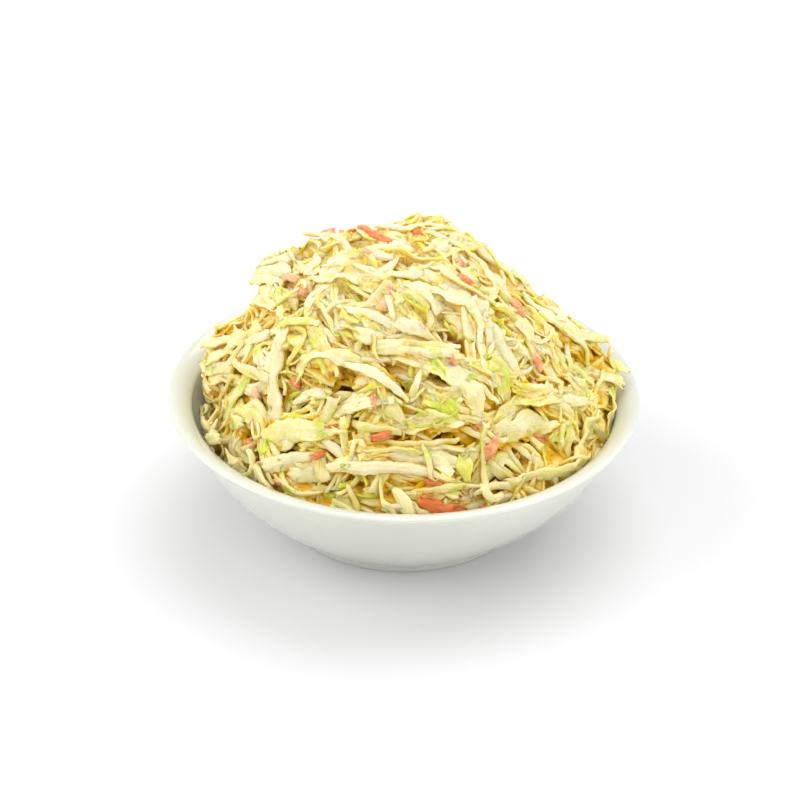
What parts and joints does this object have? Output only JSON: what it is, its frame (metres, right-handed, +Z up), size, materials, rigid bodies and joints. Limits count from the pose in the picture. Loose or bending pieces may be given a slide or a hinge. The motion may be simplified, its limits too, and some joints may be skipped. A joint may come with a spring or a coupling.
{
  "type": "bowl of coleslaw",
  "caption": "Heap of shredded cabbage and carrot salad, domed well above the rim of a round bowl with a turned-out lip and a foot ring.",
  "frame": {"origin": "centre of the bowl's foot ring, on the surface that the bowl stands on", "axes": "+Z up along the bowl's axis; -Y towards the viewer of the served bowl; +X to that viewer's right"},
  "size_m": [0.18, 0.18, 0.1138],
  "materials": {
    "bowl_glaze": "gloss",
    "coleslaw": "satin"
  },
  "bodies": {
    "root": {"bowl": "bowl_glaze", "coleslaw": "coleslaw"}
  },
  "joints": []
}
